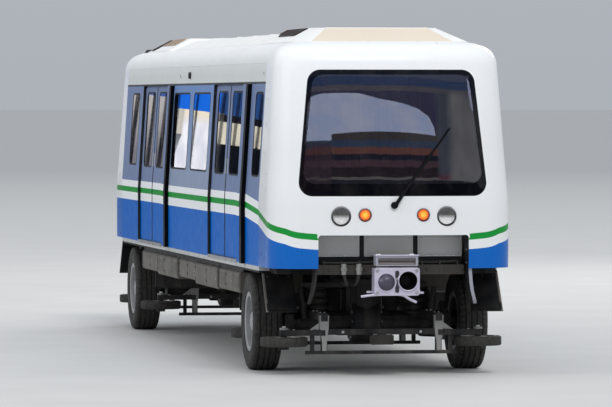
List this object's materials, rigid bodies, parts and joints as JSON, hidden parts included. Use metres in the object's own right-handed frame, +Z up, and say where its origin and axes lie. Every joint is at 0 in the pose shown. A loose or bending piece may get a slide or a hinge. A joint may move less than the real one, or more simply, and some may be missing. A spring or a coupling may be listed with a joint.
{
  "type": "automated people mover lead car",
  "caption": "Lead car of a driverless rubber-tyred people mover, with double sliding doors, steered axles and side guide wheels.",
  "frame": {"origin": "on the running surface, below the middle of the car", "axes": "+X towards the leading end, +Y to the car's left, +Z up"},
  "size_m": [13.78, 2.56, 3.53],
  "materials": {
    "underframe": "painted sills and floor",
    "roof_paint": "satin",
    "wall_paint": "satin, in stripes",
    "window_glass": "tinted",
    "door_paint": "satin, in stripes",
    "end_moulding": "gloss gelcoat, in stripes",
    "roof_unit": "satin",
    "equipment": "dusty paint",
    "front_panels": "satin",
    "lamps": "clear and orange lenses",
    "black_plastic": "matt",
    "coupler_steel": "machined and worn",
    "axle_steel": "dusty paint",
    "rim_steel": "satin",
    "tyre": "ribbed tread",
    "guide_wheel": "solid rubber",
    "seat": "moulded",
    "stainless": "brushed",
    "interior": "laminate"
  },
  "bodies": {
    "root": {"underframe": "underframe", "roof": "roof_paint", "right_rear_panel": "wall_paint", "right_mid_panel": "wall_paint", "right_front_panel": "wall_paint", "left_rear_panel": "wall_paint", "left_mid_panel": "wall_paint", "left_front_panel": "wall_paint", "right_rear_glass": "window_glass", "right_mid_glass": "window_glass", "right_front_glass": "window_glass", "left_rear_glass": "window_glass", "left_mid_glass": "window_glass", "left_front_glass": "window_glass", "front_cap": "end_moulding", "windscreen": "window_glass", "rear_cap": "end_moulding", "rear_window": "window_glass", "front_roof_unit": "roof_unit", "rear_roof_unit": "roof_unit", "roof_deck": "roof_unit", "right_equipment": "equipment", "left_equipment": "equipment", "front_beam": "front_panels", "lamp_bar": "lamps", "wiper": "black_plastic", "front_bench": "seat", "rear_bench": "seat", "grab_rails": "stainless", "cupboard": "interior"},
    "door_right_front_ahead": {"right_front_door_ahead": "door_paint"},
    "door_right_front_behind": {"right_front_door_behind": "door_paint"},
    "door_right_rear_ahead": {"right_rear_door_ahead": "door_paint"},
    "door_right_rear_behind": {"right_rear_door_behind": "door_paint"},
    "door_left_front_ahead": {"left_front_door_ahead": "door_paint"},
    "door_left_front_behind": {"left_front_door_behind": "door_paint"},
    "door_left_rear_ahead": {"left_rear_door_ahead": "door_paint"},
    "door_left_rear_behind": {"left_rear_door_behind": "door_paint"},
    "coupler": {"front_coupler": "coupler_steel"},
    "drawbar": {"rear_drawbar": "coupler_steel"},
    "steer_front": {"front_axle": "axle_steel"},
    "steer_rear": {"rear_axle": "axle_steel"},
    "wheel_front_right": {"front_right_rim": "rim_steel", "front_right_tyre": "tyre"},
    "wheel_front_left": {"front_left_rim": "rim_steel", "front_left_tyre": "tyre"},
    "wheel_rear_right": {"rear_right_rim": "rim_steel", "rear_right_tyre": "tyre"},
    "wheel_rear_left": {"rear_left_rim": "rim_steel", "rear_left_tyre": "tyre"},
    "guide_front_right_outer": {"front_right_guide_wheel_outer": "guide_wheel"},
    "guide_front_right_inner": {"front_right_guide_wheel_inner": "guide_wheel"},
    "guide_front_left_outer": {"front_left_guide_wheel_outer": "guide_wheel"},
    "guide_front_left_inner": {"front_left_guide_wheel_inner": "guide_wheel"},
    "guide_rear_right_outer": {"rear_right_guide_wheel_outer": "guide_wheel"},
    "guide_rear_right_inner": {"rear_right_guide_wheel_inner": "guide_wheel"},
    "guide_rear_left_outer": {"rear_left_guide_wheel_outer": "guide_wheel"},
    "guide_rear_left_inner": {"rear_left_guide_wheel_inner": "guide_wheel"}
  },
  "joints": [
    {"name": "right_front_doors", "type": "slide", "parent": "root", "child": "door_right_front_ahead", "axis": [1, 0, 0], "range_m": [0, 1.03]},
    {"name": "right_front_doors_other", "type": "slide", "parent": "root", "child": "door_right_front_behind", "axis": [-1, 0, 0], "range_m": [0, 1.03]},
    {"name": "right_rear_doors", "type": "slide", "parent": "root", "child": "door_right_rear_ahead", "axis": [1, 0, 0], "range_m": [0, 1.03]},
    {"name": "right_rear_doors_other", "type": "slide", "parent": "root", "child": "door_right_rear_behind", "axis": [-1, 0, 0], "range_m": [0, 1.03]},
    {"name": "left_front_doors", "type": "slide", "parent": "root", "child": "door_left_front_ahead", "axis": [1, 0, 0], "range_m": [0, 1.03]},
    {"name": "left_front_doors_other", "type": "slide", "parent": "root", "child": "door_left_front_behind", "axis": [-1, 0, 0], "range_m": [0, 1.03]},
    {"name": "left_rear_doors", "type": "slide", "parent": "root", "child": "door_left_rear_ahead", "axis": [1, 0, 0], "range_m": [0, 1.03]},
    {"name": "left_rear_doors_other", "type": "slide", "parent": "root", "child": "door_left_rear_behind", "axis": [-1, 0, 0], "range_m": [0, 1.03]},
    {"name": "coupler_swing", "type": "hinge", "parent": "root", "child": "coupler", "pos_m": [6.1, 0, 0.957], "axis": [0, 0, 1], "range_deg": [-15, 15]},
    {"name": "drawbar_swing", "type": "hinge", "parent": "root", "child": "drawbar", "pos_m": [-6.1, 0, 0.957], "axis": [0, 0, 1], "range_deg": [-15, 15]},
    {"name": "front_steering", "type": "hinge", "parent": "root", "child": "steer_front", "pos_m": [4.85, 0, 0.94], "axis": [0, 0, 1], "range_deg": [-10, 10]},
    {"name": "rear_steering", "type": "hinge", "parent": "root", "child": "steer_rear", "pos_m": [-4.85, 0, 0.94], "axis": [0, 0, 1], "range_deg": [-10, 10]},
    {"name": "front_right_wheel", "type": "hinge", "parent": "steer_front", "child": "wheel_front_right", "pos_m": [4.85, -1.07, 0.5], "axis": [0, 1, 0], "continuous": true},
    {"name": "front_left_wheel", "type": "hinge", "parent": "steer_front", "child": "wheel_front_left", "pos_m": [4.85, 1.07, 0.5], "axis": [0, 1, 0], "continuous": true},
    {"name": "rear_right_wheel", "type": "hinge", "parent": "steer_rear", "child": "wheel_rear_right", "pos_m": [-4.85, -1.07, 0.5], "axis": [0, 1, 0], "continuous": true},
    {"name": "rear_left_wheel", "type": "hinge", "parent": "steer_rear", "child": "wheel_rear_left", "pos_m": [-4.85, 1.07, 0.5], "axis": [0, 1, 0], "continuous": true},
    {"name": "front_right_guide_outer", "type": "hinge", "parent": "steer_front", "child": "guide_front_right_outer", "pos_m": [5.9, -1, 0.335], "axis": [0, 0, 1], "continuous": true},
    {"name": "front_right_guide_inner", "type": "hinge", "parent": "steer_front", "child": "guide_front_right_inner", "pos_m": [3.8, -1, 0.335], "axis": [0, 0, 1], "continuous": true},
    {"name": "front_left_guide_outer", "type": "hinge", "parent": "steer_front", "child": "guide_front_left_outer", "pos_m": [5.9, 1, 0.335], "axis": [0, 0, 1], "continuous": true},
    {"name": "front_left_guide_inner", "type": "hinge", "parent": "steer_front", "child": "guide_front_left_inner", "pos_m": [3.8, 1, 0.335], "axis": [0, 0, 1], "continuous": true},
    {"name": "rear_right_guide_outer", "type": "hinge", "parent": "steer_rear", "child": "guide_rear_right_outer", "pos_m": [-5.9, -1, 0.335], "axis": [0, 0, 1], "continuous": true},
    {"name": "rear_right_guide_inner", "type": "hinge", "parent": "steer_rear", "child": "guide_rear_right_inner", "pos_m": [-3.8, -1, 0.335], "axis": [0, 0, 1], "continuous": true},
    {"name": "rear_left_guide_outer", "type": "hinge", "parent": "steer_rear", "child": "guide_rear_left_outer", "pos_m": [-5.9, 1, 0.335], "axis": [0, 0, 1], "continuous": true},
    {"name": "rear_left_guide_inner", "type": "hinge", "parent": "steer_rear", "child": "guide_rear_left_inner", "pos_m": [-3.8, 1, 0.335], "axis": [0, 0, 1], "continuous": true}
  ],
  "couplings": [
    {"joint": "right_front_doors_other", "follows": "right_front_doors", "ratio": 1},
    {"joint": "right_rear_doors_other", "follows": "right_rear_doors", "ratio": 1},
    {"joint": "left_front_doors_other", "follows": "left_front_doors", "ratio": 1},
    {"joint": "left_rear_doors_other", "follows": "left_rear_doors", "ratio": 1}
  ]
}
